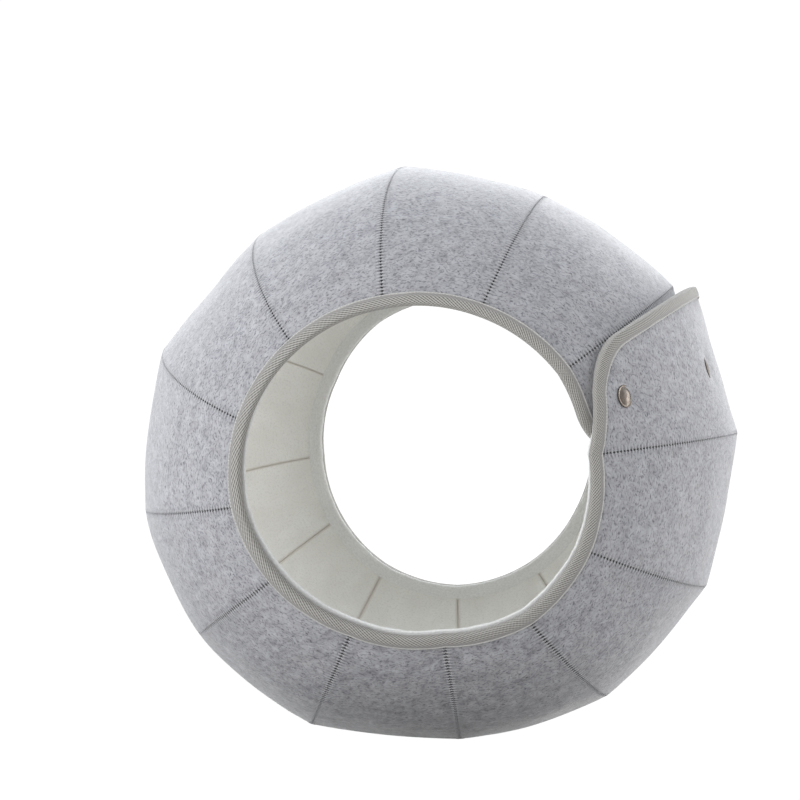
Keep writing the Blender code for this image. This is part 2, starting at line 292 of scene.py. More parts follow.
def panel_width(index, across):
    """A panel's width from its line to just short of the next."""
    first = strip(index + 0.0, across)
    second = strip(index + 0.999999, across)
    return np.linalg.norm(second - first, axis=-1)


def line_run(index):
    """Places across the strip, and the distance of each from the front end of that line."""
    probe = np.linspace(-1, 1, 400)
    line = strip(index + 0.0, probe)
    length = np.concatenate(((0,), np.cumsum(np.linalg.norm(np.diff(line, axis=0), axis=1))))
    return probe, length


def corner_cut(distance):
    """How far a rounded corner draws the long edge in, a distance from the free end."""
    inside = np.maximum(CORNER_RADIUS - distance, 0)
    return CORNER_RADIUS - np.sqrt(CORNER_RADIUS ** 2 - inside ** 2)


def corner_edge(index, steps):
    """Distances from a free end round its corner, and how far across the edge lies at each."""
    from_end = CORNER_RADIUS * (1 - np.cos(np.linspace(0, 1, steps) * math.pi / 2))
    trim = 0 * from_end
    if index == FLAP:
        trim = FLAP_TRIM * (1 - from_end / panel_width(index, np.array(1.0)))
    return from_end, 1 - (trim + corner_cut(from_end)) / HALF_STRIP


# ---------------------------------------------------------------- meshes

def new_object(name, points, faces, material, uv=None, seam=None):
    """A smooth mesh object, with a texture map and a seam map where they are given."""
    mesh = bpy.data.meshes.new(name)
    mesh.from_pydata([tuple(p) for p in points], [], [tuple(f) for f in faces])
    for layer_name, values in (("UVMap", uv), ("Seam", seam)):
        if values is not None:
            corners = np.empty(len(mesh.loops), dtype=np.int32)
            mesh.loops.foreach_get("vertex_index", corners)
            layer = mesh.uv_layers.new(name=layer_name)
            layer.data.foreach_set("uv", np.asarray(values, dtype=np.float32)[corners].ravel())
    mesh.polygons.foreach_set("use_smooth", [True] * len(mesh.polygons))
    mesh.materials.append(material)
    mesh.validate()
    item = bpy.data.objects.new(name, mesh)
    bpy.context.scene.collection.objects.link(item)
    return item


def dress(item, slot, *nodes):
    """Fixes a piece to the body and hides the solids that it stands for; slot is not used."""
    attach(item, "root")
    if nodes:
        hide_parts(*nodes)
    return item


def shell_faces(columns, rows):
    """Faces of a closed sheet: an outer and an inner grid, joined round their border."""
    outer = np.arange(columns * rows).reshape(columns, rows)
    inner = outer + columns * rows
    ring = np.concatenate((outer, inner[:, ::-1]), axis=1)
    after = np.roll(ring, -1, axis=1)
    around = np.stack((ring[:-1], after[:-1], after[1:], ring[1:]), axis=-1).reshape(-1, 4)
    start = np.stack((outer[0, :-1], inner[0, :-1], inner[0, 1:], outer[0, 1:]), axis=-1)
    end = np.stack((outer[-1, 1:], inner[-1, 1:], inner[-1, :-1], outer[-1, :-1]), axis=-1)
    return np.concatenate((around, start, end))


def panel_grid(index, columns, rows, gap, set_back):
    """Along, across, and distances to the panel's own sides and ends, on a grid."""
    inset = np.full(columns, set_back)
    near = np.array(GRID_NEAR)
    row_share = np.linspace(-1, 1, rows)
    row_share = np.sign(row_share) * (1 - (1 - np.abs(row_share)) ** ROW_CROWDING)
    widths = panel_width(index, row_share)
    if 0 < index < FLAP:
        middle = np.linspace(0, 1, columns - 2 * len(near) + 2)[1:-1]
        across = np.tile(row_share, (columns, 1))
        span = widths - 2 * gap
        low = near[:, None] + 0 * span
        inner = near[-1] + (span - 2 * near[-1]) * middle[:, None]
        distance = np.concatenate((low, inner, span - low[::-1]))
        along = index + (distance + gap) / widths
        side = np.minimum(distance, span - distance)
    else:
        from_end, edge = corner_edge(index, 12)
        end_across = edge[:, None] * row_share
        end_share = from_end[:, None] / panel_width(index, end_across)
        rest = np.linspace(0, 1, columns - len(from_end) - len(near) + 2)[1:-1]
        last_share = 1 - (gap + near[::-1])[:, None] / widths
        seam_across = np.tile(row_share, (len(near), 1))
        blend_share = end_share[-1] + (last_share[0] - end_share[-1]) * rest[:, None]
        blend_across = end_across[-1] + (row_share - end_across[-1]) * rest[:, None]
        share = np.concatenate((end_share, blend_share, last_share))
        across = np.concatenate((end_across, blend_across, seam_across))
        side = np.minimum(1 - share, 1.0) * panel_width(index, across) - gap
        side = np.maximum(np.minimum(side, share * panel_width(index, across)), 0)
        inset[:len(from_end)] *= corner_shares(from_end)[1]
        if index == FLAP:
            share, across, side, inset = 1 - share[::-1], across[::-1], side[::-1], inset[::-1]
        along = index + share
    return np.clip(along, index, index + PANEL_END), draw_in(across, inset), side


def draw_in(across, set_back):
    """The grid with its long edges drawn in by each column's set-back, fading over one tape leg."""
    edge = np.abs(across).max(axis=1, keepdims=True)
    share = np.clip(1 - (edge - np.abs(across)) * HALF_STRIP / TAPE_LEG, 0, 1)
    return across - np.sign(across) * set_back[:, None] * share / HALF_STRIP


def corner_shares(from_end):
    """How far a rounded corner faces the free end and the long edge, a distance from the end."""
    return 1 - from_end / CORNER_RADIUS, 1 - corner_cut(from_end) / CORNER_RADIUS


def edge_drop(side, radius):
    """How much a rounded border lowers the face at a distance from it."""
    inside = np.clip(radius - side, 0, radius)
    return radius - np.sqrt(radius ** 2 - inside ** 2)


def soft_waves(u, v, seed, scale, count=7):
    """A smooth uneven field of about unit height, from sines of random directions."""
    rng = np.random.default_rng(seed)
    total = np.zeros_like(u)
    for _ in range(count):
        turn, phase = rng.uniform(0, 2 * math.pi, 2)
        rate = rng.uniform(0.6, 1.6) * 2 * math.pi / scale
        total += np.sin(rate * (u * math.cos(turn) + v * math.sin(turn)) + phase)
    return total / math.sqrt(count)


def snap_frame(snap):
    """A snap's centre on the felt, the outward normal, and the way in from its mouth."""
    place = FLAP + snap.along
    step = -0.01 if snap.across > 0 else 0.01
    inward = unit(strip(place, snap.across + step) - strip(place, snap.across))
    normal = strip_normal(place, snap.across)
    return strip(place, snap.across), normal, unit(inward - normal * (inward @ normal))


def snap_dimples(point):
    """How far the felt is pulled in and round at each snap."""
    dip = np.zeros(point.shape[:-1])
    for snap in SNAPS:
        centre, _, inward = snap_frame(snap)
        fade = np.exp(-(np.linalg.norm(point - centre, axis=-1) / DIMPLE_RADIUS) ** 2)
        slope = math.tan(math.radians(snap.tilt_deg))
        dip += (DIMPLE_DEPTH + slope * ((point - centre) @ inward)) * fade
    return dip


def closing(across, full):
    """How open a seam is: less in the middle of its length, whole from `full` outwards."""
    return np.interp(np.abs(across), (CLOSED_TO, full), (CLOSED_SHARE, 1.0))


def seam_place(index, along, across):
    """For each point of a panel: distance to its nearer seam in hole widths, and along it."""
    share = along - index
    width = panel_width(index, across)
    low, high = share * width, (1 - share) * width
    use_low = (low < high) if 0 < index < FLAP else np.full(along.shape, index == FLAP)
    run = np.where(use_low, *(np.interp(across, *line_run(index + step)) for step in (0, 1)))
    reach = np.where(use_low, low / HOLE_WIDTHS[index], high / HOLE_WIDTHS[index + 1])
    return np.stack((reach, run), axis=-1).reshape(-1, 2)


def make_panel(name, index, cloth, material):
    """One cloth panel: a closed sheet between two depths, with rounded borders."""
    along, across, side = panel_grid(index, cloth.columns, cloth.rows, cloth.gap, cloth.set_back)
    u = (along - index) * panel_width(index, across)
    v = across * HALF_STRIP
    drop = edge_drop(side, EDGE_ROUND * closing(across, ROUND_FULL))
    waves = soft_waves(u, v, 31 + index, WAVE_LENGTH)
    relief = cloth.wave * waves * np.clip(side / WAVE_FADE, 0, 1)
    relief = relief + cloth.swell * np.clip(side / SWELL_FADE, 0, 1)
    point = strip(along, across, cloth.top)
    if index == FLAP:
        relief = relief - snap_dimples(point)
    settled = point[..., 2] < SETTLED_HEIGHT
    relief = np.where(settled & (relief > 0), relief * SETTLED_SHARE, relief)
    bottom = cloth.top + cloth.thickness
    outer = strip(along, across, cloth.top + drop - relief)
    inner = strip(along, across, bottom - drop * INNER_ROUND - relief)
    points = np.concatenate((outer.reshape(-1, 3), inner.reshape(-1, 3)))
    uv = np.stack((u, v), axis=-1).reshape(-1, 2) + np.multiply(UV_SHIFT, index)
    seam = seam_place(index, along, across)
    return new_object(name, points, shell_faces(*along.shape), material,
                      np.concatenate((uv, uv)), np.concatenate((seam, seam)))


# ---------------------------------------------------------------- edge of the strip

Edge = namedtuple("Edge", "point outward normal along across set_back run total")


def edge_stations():
    """The strip's closed edge, evenly spaced: edge points, their frames, places and set-backs."""
    leg = TAPE_LEG / HALF_STRIP

    def corner(index, side):
        from_end, across = corner_edge(index, 24)
        across = side * across
        width = panel_width(index, across)
        to_end, to_side = corner_shares(from_end)
        share = from_end / width
        tip_share = share + TAPE_LEG * to_end / width
        tip_across = across - side * TAPE_LEG * to_side / HALF_STRIP
        if index == FLAP:
            share, tip_share = 1 - share, 1 - tip_share
        return index + share, across, index + tip_share, tip_across, LINING_SET_BACK * to_side ** 3

    def free_end(index, low, high):
        across = np.linspace(low, high, 300)[1:-1]
        shift = TAPE_LEG / panel_width(index, across)
        place = np.full_like(across, index + (PANEL_END if index == FLAP else 0.0))
        return place, across, place + (-shift if index == FLAP else shift), across, 0 * across

    def long_side(side, under, flap):
        first = np.linspace(under[0][-1], 1, 60)[1:]
        first_across = np.linspace(under[1][-1], side, 60)[1:]
        run = np.linspace(1, FLAP, 1400)[1:]
        last = np.linspace(FLAP, flap[0][-1], 60)[1:-1]
        last_across = np.linspace(side, flap[1][-1], 60)[1:-1]
        along = np.concatenate((first, run, last))
        across = np.concatenate((first_across, np.full(len(run), float(side)), last_across))
        return along, across, along, across - side * leg, np.full(len(along), LINING_SET_BACK)

    def reverse(parts):
        return tuple(part[::-1] for part in parts)

    under = {side: corner(0, side) for side in (-1, 1)}
    flap = {side: corner(FLAP, side) for side in (-1, 1)}
    loop = (
        under[-1], long_side(-1, under[-1], flap[-1]), reverse(flap[-1]),
        free_end(FLAP, flap[-1][1][0], flap[1][1][0]), flap[1],
        reverse(long_side(1, under[1], flap[1])), reverse(under[1]),
        reverse(free_end(0, under[-1][1][0], under[1][1][0])),
    )
    along, across, tip_along, tip_across, set_back = (np.concatenate(part) for part in zip(*loop))
    edge = strip(along, across)
    tip = strip(np.clip(tip_along, 0, FLAP + PANEL_END), tip_across)
    gap = np.linalg.norm(np.roll(edge, -1, axis=0) - edge, axis=1)
    length = np.concatenate(((0,), np.cumsum(gap)))
    total = length[-1]
    count = int(total / STATION_STEP)
    sample = np.arange(count) * total / count

    def resample(values):
        closed = np.concatenate((values, values[:1]))
        if closed.ndim == 1:
            return np.interp(sample, length, closed)
        return np.stack([np.interp(sample, length, column) for column in closed.T], axis=1)

    edge, tip, along, across, set_back = (
        resample(values) for values in (edge, tip, along, across, set_back))
    run = unit(np.roll(edge, -3, axis=0) - np.roll(edge, 3, axis=0))
    outward = unit(edge - tip)
    normal = unit(np.cross(run, outward))
    return Edge(edge, outward, normal, along, across, set_back, sample, total)


def tube_faces(rings, sides, closed):
    """Faces between rings of points; a closed tube runs back into its first ring."""
    ring = np.arange(rings * sides).reshape(rings, sides)
    around = np.roll(ring, -1, axis=1)
    if closed:
        after, after_around = np.roll(ring, -1, axis=0), np.roll(around, -1, axis=0)
    else:
        ring, around, after, after_around = ring[:-1], around[:-1], ring[1:], around[1:]
    return np.stack((ring, around, after_around, after), axis=-1).reshape(-1, 4)


def sweep(name, edge, profile, material, uv_along):
    """Sweeps a profile of (outward, normal) pairs, one set per station, round the edge."""
    points = (edge.point[:, None] + edge.outward[:, None] * profile[..., :1]
              + edge.normal[:, None] * profile[..., 1:])
    rings, sides = points.shape[:2]
    girth = np.concatenate((np.zeros((rings, 1)), np.cumsum(
        np.linalg.norm(np.diff(profile, axis=1), axis=2), axis=1)), axis=1)
    girth = girth[:, -1:] - girth
    uv = np.stack((np.repeat(uv_along[:, None], sides, axis=1), girth), axis=-1).reshape(-1, 2)
    return new_object(name, points.reshape(-1, 3), tube_faces(rings, sides, True), material, uv)


def make_tubes(name, paths, normals, radius, material, sides=6):
    """Short threads: one closed tapered tube per path. paths is (threads, points, 3)."""
    count, steps = paths.shape[:2]
    tangent = unit(np.gradient(paths, axis=1))
    side = unit(np.cross(tangent, normals))
    up = np.cross(side, tangent)
    turn = np.arange(sides) * 2 * math.pi / sides
    taper = np.ones(steps)
    taper[0] = taper[-1] = THREAD_TIP
    ring = (side[:, :, None] * np.cos(turn)[:, None] + up[:, :, None] * np.sin(turn)[:, None])
    points = paths[:, :, None] + ring * (radius * taper)[..., None, None]
    one = tube_faces(steps, sides, False)[:, ::-1]
    offsets = (np.arange(count) * steps * sides)[:, None, None]
    faces = (one[None] + offsets).reshape(-1, 4).tolist()
    for start in (np.arange(count) * steps * sides).tolist():
        faces.append(list(range(start, start + sides)))
        end = start + (steps - 1) * sides
        faces.append(list(range(end + sides - 1, end - 1, -1)))
    return new_object(name, points.reshape(-1, 3), faces, material)


def make_seam(index, material):
    """The thread bars over the seam on the line of that index."""
    probe, length = line_run(index)
    clear = TAPE_LEG + BAR_CLEARANCE
    first = math.ceil(clear / STITCH_PITCH)
    last = math.floor((length[-1] - clear) / STITCH_PITCH)
    place = STITCH_PITCH * (np.arange(first, last) + 0.5)
    count = len(place)
    across = np.interp(place, length, probe)
    slant = STITCH_PITCH * BAR_SLANT / length[-1] * 2
    share = np.linspace(0, 1, len(BAR_HEIGHTS))
    reach = BAR_REACH[0] + (BAR_REACH[1] - BAR_REACH[0]) * share
    reach = reach[None] * RNG.uniform(*BAR_VARIATION, (count, 1))
    before, after = (panel_width(index + step, across)[:, None] for step in (-1, 0))
    along = index + reach / np.where(reach < 0, before, after)
    across = across[:, None] + slant * (share - 0.5)
    radius = THREAD * closing(across[:, :1], THREAD_FULL)
    height = radius * np.array(BAR_HEIGHTS)
    points = strip(along, across, -height)
    normals = unit(strip(along, across, -0.002) - strip(along, across, 0.0))
    return make_tubes(f"seam_{index:02d}_thread", points, normals, radius, material)


# ---------------------------------------------------------------- materials

class Shader:
    """A material's nodes, made one after the other and wired by socket."""

    def __init__(self, name):
        self.material = bpy.data.materials.new(name)
        self.material.use_nodes = True
        self.nodes = self.material.node_tree.nodes
        self.links = self.material.node_tree.links
        self.shader = self.nodes["Principled BSDF"]

    def add(self, kind, inputs=(), **settings):
        node = self.nodes.new("ShaderNode" + kind)
        for key, value in settings.items():
            setattr(node, key, value)
        for key, value in dict(inputs).items():
            self.put(node.inputs[key], value)
        return node

    def put(self, socket, value):
        if isinstance(value, bpy.types.NodeSocket):
            self.links.new(value, socket)
        else:
            socket.default_value = value

    def math(self, operation, first, second=0.0):
        return self.add("Math", {0: first, 1: second}, operation=operation).outputs[0]

    def vector(self, operation, first, second):
        return self.add("VectorMath", {0: first, 1: second}, operation=operation).outputs[0]

    def noise(self, vector, scale, detail=2.0, roughness=0.5):
        inputs = {"Vector": vector, "Scale": scale, "Detail": detail, "Roughness": roughness}
        return self.add("TexNoise", inputs).outputs["Fac"]

    def ramp(self, value, low, high, to_low=0.0, to_high=1.0):
        """From to_low where the value is low to to_high where it is high; low may be the larger."""
        inputs = {"Value": value, "From Min": low, "From Max": high,
                  "To Min": to_low, "To Max": to_high}
        return self.add("MapRange", inputs, clamp=True).outputs["Result"]

    def mix(self, share, first, second):
        node = self.add("Mix", data_type="RGBA")
        self.put(node.inputs["Factor"], share)
        self.put(node.inputs[6], first)
        self.put(node.inputs[7], second)
        return node.outputs[2]

    def uv(self, layer):
        return self.add("UVMap", uv_map=layer).outputs["UV"]

    def object_place(self):
        return self.add("TexCoord").outputs["Object"]

    def split(self, vector):
        return self.add("SeparateXYZ", {"Vector": vector}).outputs

    def drift(self, vector, scale, reach):
        """The vector, shifted unevenly by up to about half the reach."""
        noise = self.add("TexNoise", {"Vector": vector, "Scale": scale, "Detail": 1.0})
        shift = self.vector("SUBTRACT", noise.outputs["Color"], (0.5, 0.5, 0.5))
        return self.vector("ADD", vector, self.vector("MULTIPLY", shift, (reach, reach, 0.0)))

    def stain(self, colour, mask, amount, other):
        """The colour with another one mixed in, up to an amount where the mask is full."""
        return self.mix(self.math("MULTIPLY", mask, amount), colour, other)

    def turned(self, vector, degrees, scale):
        inputs = {"Vector": vector, "Rotation": (0, 0, math.radians(degrees)), "Scale": scale}
        return self.add("Mapping", inputs).outputs["Vector"]

    def bump(self, height, distance, normal=None):
        inputs = {"Height": height, "Distance": distance, "Strength": 1.0}
        if normal is not None:
            inputs["Normal"] = normal
        return self.add("Bump", inputs).outputs["Normal"]

    def finish(self, colour, normal=None, **values):
        self.put(self.shader.inputs["Base Color"], colour)
        if normal is not None:
            self.put(self.shader.inputs["Normal"], normal)
        for key, value in values.items():
            self.shader.inputs[key.replace("_", " ")].default_value = value
        return self.material


def needle_holes(s):
    """Masks of the seams' needle holes, painted dark as shade, and of the painted shade round them,
    fading where a seam closes.
    """
    seam = s.split(s.uv("Seam"))
    phase = s.math("FRACT", s.math("MULTIPLY", seam["Y"], 1 / STITCH_PITCH))
    off = s.math("ABSOLUTE", s.math("SUBTRACT", phase, 0.5))
    off = s.math("ABSOLUTE", s.math("SUBTRACT", off, 0.5))
    from_middle = s.math("ABSOLUTE", s.math("SUBTRACT", seam["Y"], HALF_STRIP))
    open_share = s.ramp(from_middle, 0.06, 0.15)
    along = s.math("POWER", s.math("MULTIPLY", off, STITCH_PITCH / HOLE_LENGTH), 2.0)
    beside = s.math("POWER", s.math("MULTIPLY", seam["X"], 1 / HOLE_WIDTH), 2.0)
    hole = s.ramp(s.math("ADD", along, beside), 1.25, 0.55)
    hole = s.math("MULTIPLY", hole, s.ramp(open_share, 0.0, 1.0, 0.08, 1.0))
    shade = s.math("MULTIPLY", s.ramp(off, 0.34, 0.05), s.ramp(seam["X"], 0.0050, 0.0020))
    shade = s.math("MULTIPLY", shade, s.ramp(open_share, 0.0, 1.0, 0.12, 0.42))
    return hole, shade


def felt_material():
    """Grey needle felt: dark flecks in a paler matted ground, more uneven low down, with painted
    shade where it touches the floor, and with painted shade in and round the seams' needle holes."""
    s = Shader("felt_grey")
    place = s.uv("UVMap")
    curly = s.drift(place, 150.0, 0.005)
    flecks = 0.0
    for turn, long, short, low in FLECKS:
        fibres = s.noise(s.turned(curly, turn, (long, short, 1)), 1.0, 1.0, 0.5)
        flecks = s.math("MAXIMUM", s.ramp(fibres, low, low + 0.18), flecks)
    matted = s.ramp(s.noise(curly, 330.0, 4.0, 0.70), 0.30, 0.70)
    clumps = s.ramp(s.noise(curly, 105.0, 2.0, 0.60), 0.30, 0.70)
    broad = s.ramp(s.noise(place, 32.0, 2.0), 0.35, 0.65)
    height = s.split(s.object_place())["Z"]
    low_down = s.ramp(height, 0.15, 0.03)
    darker = s.mix(low_down, (0.235, 0.233, 0.250, 1), (0.145, 0.143, 0.158, 1))
    paler = s.mix(low_down, (0.410, 0.412, 0.434, 1), (0.490, 0.488, 0.505, 1))
    colour = s.mix(clumps, darker, paler)
    colour = s.stain(colour, broad, 0.35, (0.385, 0.374, 0.380, 1))
    colour = s.stain(colour, matted, 0.42, (0.590, 0.593, 0.616, 1))
    colour = s.stain(colour, flecks, 0.85, (0.110, 0.107, 0.124, 1))
    hole, shade = needle_holes(s)
    # painted shade: the needle holes darkened nearly to black, and the felt round them darker
    colour = s.mix(hole, colour, (0.012, 0.011, 0.014, 1))
    colour = s.mix(shade, colour, (0.110, 0.108, 0.120, 1))
    # painted shade: the felt darkened over its lowest 16 mm, where it meets the floor
    touch = s.ramp(height, 0.016, 0.001)
    colour = s.stain(colour, touch, 0.50, (0.060, 0.060, 0.078, 1))
    normal = s.bump(matted, 0.00016)
    normal = s.bump(s.math("MULTIPLY", hole, -1.0), 0.0012, normal)
    return s.finish(colour, normal, Roughness=0.95, Sheen_Weight=0.75, Sheen_Roughness=0.35,
                    Specular_IOR_Level=0.08)


def lining_material():
    """Cream plush: short pile in soft tufts, with thin tan lines where the panels meet."""
    s = Shader("lining_cream")
    place = s.uv("UVMap")
    tufts = s.noise(place, 520.0, 3.0, 0.55)
    lay = s.noise(s.turned(place, 12, (45, 18, 1)), 1.0, 2.0)
    colour = s.mix(s.ramp(lay, 0.3, 0.7), (0.820, 0.812, 0.775, 1), (0.880, 0.877, 0.848, 1))
    colour = s.mix(s.ramp(tufts, 0.50, 0.30), colour, (0.760, 0.750, 0.712, 1))
    join = s.ramp(s.split(s.uv("Seam"))["X"], 0.0018, 0.0002)
    colour = s.mix(join, colour, (0.630, 0.600, 0.545, 1))
    normal = s.bump(tufts, 0.0004)
    normal = s.bump(lay, 0.0040, normal)
    return s.finish(colour, normal, Roughness=0.97, Sheen_Weight=0.3, Sheen_Roughness=0.6,
                    Specular_IOR_Level=0.1)


def rim_material():
    """The same plush where it puffs over the tape at the edge."""
    s = Shader("lining_edge")
    tufts = s.noise(s.turned(s.uv("UVMap"), 0, (420, 620, 1)), 1.0, 3.0, 0.6)
    colour = s.mix(s.ramp(tufts, 0.35, 0.65), (0.740, 0.742, 0.728, 1), (0.850, 0.853, 0.842, 1))
    return s.finish(colour, s.bump(tufts, 0.0006), Roughness=0.95, Sheen_Weight=0.3,
                    Sheen_Roughness=0.5, Specular_IOR_Level=0.1)


def tape_material():
    """Warm grey twill: slanted ribs, with painted shade darkening the grooves between them, broken
    by a dotted cross weave, with a plain strip and a paler selvedge along its inner edge."""
    s = Shader("binding_twill")
    place = s.uv("UVMap")
    parts = s.split(s.drift(place, 60.0, 0.0010))

    def waves(along, across):
        along = s.math("MULTIPLY", parts["X"], along)
        across = s.math("MULTIPLY", parts["Y"], across)
        turns = s.math("MULTIPLY", s.math("ADD", along, across), 2 * math.pi)
        return s.ramp(s.math("SINE", turns), -1.0, 1.0)

    ribs = waves(*TWILL_RIBS)
    dots = waves(*TWILL_DOTS)
    yarn = s.noise(place, 1100.0, 2.0)
    height = s.math("ADD", ribs, s.math("MULTIPLY", dots, 0.30))
    # the ribs' pattern, with painted shade darkening the grooves between them
    colour = s.mix(s.ramp(ribs, 0.12, 0.62), (0.120, 0.113, 0.104, 1), (0.440, 0.428, 0.402, 1))
    colour = s.stain(colour, s.ramp(dots, 0.45, 0.95), 0.22, (0.600, 0.588, 0.560, 1))
    colour = s.stain(colour, s.ramp(yarn, 0.40, 0.62), 0.25, (0.270, 0.262, 0.245, 1))
    plain = s.ramp(parts["Y"], 0.0042, 0.0028)
    colour = s.stain(colour, plain, 0.85, (0.285, 0.278, 0.270, 1))
    colour = s.mix(s.ramp(parts["Y"], 0.0013, 0.0009), colour, (0.560, 0.550, 0.530, 1))
    height = s.math("MULTIPLY", height, s.math("SUBTRACT", 1.0, plain))
    return s.finish(colour, s.bump(height, 0.00022), Roughness=0.88, Sheen_Weight=0.25,
                    Sheen_Roughness=0.45, Specular_IOR_Level=0.15)


def thread_material(name, colour):
    """Thread: one colour broken by a fine noise."""
    s = Shader(name)
    twist = s.noise(s.object_place(), 1800.0, 1.0)
    darker = tuple(c * 0.75 for c in colour[:3]) + (1,)
    return s.finish(s.mix(s.ramp(twist, 0.35, 0.65), darker, colour), s.bump(twist, 0.0001),
                    Roughness=0.9, Specular_IOR_Level=0.15, Sheen_Weight=0.50,
                    Sheen_Roughness=0.35)


def metal_material():
    """Antique nickel: warm brown grey, worn and polished in uneven patches."""
    s = Shader("snap_antique_nickel")
    wear = s.noise(s.object_place(), 260.0, 3.0, 0.6)
    colour = s.mix(s.ramp(wear, 0.35, 0.70), (0.095, 0.079, 0.067, 1), (0.150, 0.130, 0.113, 1))
    s.put(s.shader.inputs["Roughness"], s.ramp(wear, 0.3, 0.7, 0.38, 0.22))
    return s.finish(colour, s.bump(wear, 0.00005), Metallic=1.0)


def stage_material():
    """The floor, which glows by itself."""
    s = Shader("stage_white")
    s.put(s.shader.inputs["Emission Color"], (1.0, 1.0, 1.0, 1))
    return s.finish((0.05, 0.05, 0.05, 1), Roughness=1.0, Specular_IOR_Level=0.0,
                    Emission_Strength=FLOOR_GLOW)


def card_material():
    """The floor's shade on the object: dark where they touch, paler further out."""
    s = Shader("shade_card")
    place = s.vector("MULTIPLY", s.object_place(), (1.0, 1.0, 0.0))
    reach = s.add("VectorMath", {0: place}, operation="LENGTH").outputs["Value"]
    glow = s.ramp(reach, *CARD_RAMP, CARD_NEAR, CARD_GLOW)
    s.put(s.shader.inputs["Emission Strength"], glow)
    s.put(s.shader.inputs["Emission Color"], (1.0, 1.0, 1.0, 1))
    return s.finish((0.10, 0.10, 0.10, 1), Roughness=1.0, Specular_IOR_Level=0.0)


# ---------------------------------------------------------------- pieces

def panel_name(kind, index):
    """The name of the solid for a panel: the first and the last say where they lie."""
    return f"{kind}_{index + 1:02d}" + {0: "_under", FLAP: "_flap"}.get(index, "")


def panel_cut(index):
    """A panel's flat width, length and area, from the strip's own measures."""
    across = np.linspace(-1, 1, 81)
    middle = strip(index + 0.5, across)
    rise = np.linalg.norm(np.diff(middle, axis=0), axis=1)
    width = panel_width(index, across)
    if index in (0, FLAP):
        width = width * END_WIDTH_SHARE
    area = float(((width[1:] + width[:-1]) / 2 * rise).sum())
    return float(width.max()), float(rise.sum()), area


def make_panels(felt, plush):
    """A felt and a lining panel for each pair of neighbouring lines."""
    for index in range(PANELS):
        width, length, area = panel_cut(index)
        area = min(area, width * length)
        for cloth, material in zip(CLOTHS, (felt, plush)):
            name = panel_name(cloth.kind, index)
            piece = make_panel("cover_" + name, index, cloth, material)
            dress(piece, cloth.kind, name)


def tape_profile(edge):
    """Outline of the folded tape as (outward, normal) pairs for each station: outer leg, fold and
    inner leg, then back on the inside. The inner leg is drawn in as far as the lining is."""
    inner = LINING_DEPTH + LINING + FOLD_GAP
    top, bottom = TAPE_GAP + TAPE, -(inner + TAPE)
    mid, half = (top + bottom) / 2, (top - bottom) / 2
    leg = np.linspace(-TAPE_LEG, 0, 13)
    inward = leg + TAPE_LEG
    puff = TAPE_PUFF * np.sin(np.pi * np.clip(inward / TAPE_LEG, 0, 1))
    groove = GROOVE_DEPTH * np.exp(-((inward - GROOVE_INSET) / GROOVE_WIDTH) ** 2)
    outer = np.stack((leg, top + puff - groove), axis=1)
    turn = np.linspace(math.pi / 2, -math.pi / 2, 13)[1:-1]
    fold = np.stack(((FOLD_GAP + TAPE) * np.cos(turn) ** 0.6, mid + half * np.sin(turn)), axis=1)
    under = np.stack((leg[::-2], np.full(7, bottom)), axis=1)
    inside = np.stack((leg[::2], np.full(7, bottom + TAPE)), axis=1)
    bend = np.array(((FOLD_GAP * 0.8, bottom + TAPE + 0.0005), (FOLD_GAP, mid),
                     (FOLD_GAP * 0.8, top - TAPE - 0.0005)))
    back = np.stack((leg[::-2], np.full(7, top - TAPE)), axis=1)
    profile = np.concatenate((outer, fold, under, inside, bend, back))
    lean = np.clip((-profile[:, 1] - FELT) / (inner - FELT), 0, 1)
    lean = lean * np.clip(1 + profile[:, 0] / TAPE_LEG, 0, 1)
    profile = np.tile(profile, (len(edge.point), 1, 1))
    profile[..., 0] -= edge.set_back[:, None] * lean
    return profile[:, ::-1]


def make_binding(tape, thread, plush):
    """The tape with its stitches, and the lining's roll over it."""
    edge = edge_stations()
    density = np.interp(edge.along, TWILL_PLACES, TWILL_DENSITY)
    ribs = np.cumsum(density) * edge.total / len(density)
    ribs *= round(ribs[-1] * TWILL_RIBS[0]) / (ribs[-1] * TWILL_RIBS[0])
    binding = sweep("cover_binding_tape", edge, tape_profile(edge), tape, ribs)
    dress(binding, "binding", "binding_tape")
    rim = make_rim(edge, plush)
    stitches = make_tape_stitches(edge, thread)


def rim_reach(edge):
    """How far the rolled lining edge reaches past the tape's fold, round the strip's edge."""
    front = np.interp(edge.along, RIM_PLACES, RIM_FRONT)
    reach = np.where(edge.across < 0, front, RIM_BACK)
    reach = np.where(np.abs(edge.across) < RIM_END, RIM_HIDDEN, reach)
    reach = np.where((edge.along > RIM_LAP) & (edge.across < 0), RIM_HIDDEN, reach)
    kernel = np.ones(RIM_SMOOTHING) / RIM_SMOOTHING
    half = RIM_SMOOTHING // 2
    return np.convolve(np.concatenate((reach[-half:], reach, reach[:half])), kernel, "valid")


def make_rim(edge, plush):
    """The lining's puffed edge: a soft roll that lies over the tape's inner leg."""
    face = -(LINING_DEPTH + LINING)
    lumps = soft_waves(edge.run, edge.run * 0, 5, RIM_LUMP_LENGTH) * RIM_LUMP
    nose = FOLD_GAP + TAPE - edge.set_back + rim_reach(edge) + lumps
    place, height = np.array(RIM_PROFILE).T
    share = np.clip(1 + place / RIM_DEPTH, 0, 1)
    reach = place + nose[:, None] * share
    plump = 1 + RIM_PLUMPNESS * soft_waves(edge.run, edge.run * 0, 9, RIM_PLUMP_LENGTH)
    profile = np.stack((reach, face + height * plump[:, None]), axis=-1)
    return dress(sweep("lining_rim", edge, profile, plush, edge.run), "lining")


